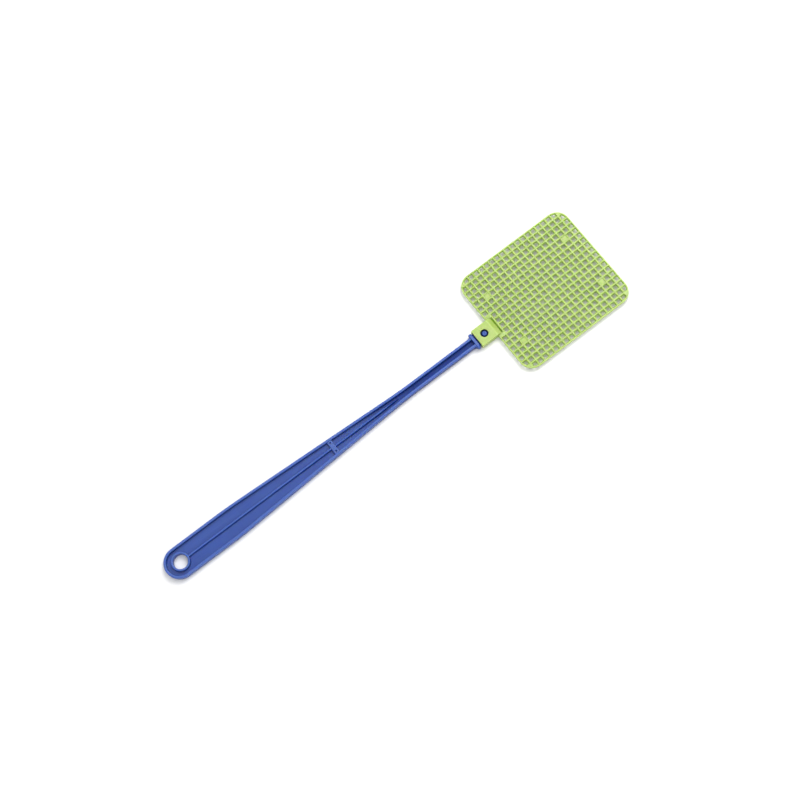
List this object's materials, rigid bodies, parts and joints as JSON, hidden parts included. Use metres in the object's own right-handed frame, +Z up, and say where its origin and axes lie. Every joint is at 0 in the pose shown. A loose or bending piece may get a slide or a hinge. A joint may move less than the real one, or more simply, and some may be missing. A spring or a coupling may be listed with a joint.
{
  "type": "fly swatter",
  "caption": "Long handle with a hanging eye and a flexible square-mesh paddle, which slides onto the handle's plug and clicks over its sprung pip.",
  "frame": {"origin": "bottom centre of the bounding box, with the swatter lying on its back face", "axes": "+X along the swatter from the grip to the head, +Z up out of its front face"},
  "size_m": [0.45, 0.101, 0.0068],
  "materials": {
    "blue_plastic": "satin moulded polypropylene, mid blue",
    "green_plastic": "satin moulded polyethylene, pale lime green"
  },
  "bodies": {
    "handle": {"handle": "blue_plastic"},
    "latch": {"snap_tongue": "blue_plastic", "snap_pip": "blue_plastic"},
    "socket": {"head_socket": "green_plastic"},
    "paddle": {"head_mesh": "green_plastic"}
  },
  "joints": [
    {"name": "head_pull", "type": "slide", "parent": "handle", "child": "socket", "axis": [1, 0, 0], "range_m": [0, 0.03], "deforming": ["snap_pip"]},
    {"name": "latch_press", "type": "hinge", "parent": "handle", "child": "latch", "pos_m": [0.09815, 0, 0.00445], "axis": [0, 1, 0], "range_deg": [0, 9.5], "stiffness_Nm_per_rad": 0.3},
    {"name": "head_flex", "type": "hinge", "parent": "socket", "child": "paddle", "pos_m": [0.11915, 0, 0.0034], "axis": [0, 1, 0], "range_deg": [-25, 25], "stiffness_Nm_per_rad": 0.25}
  ]
}
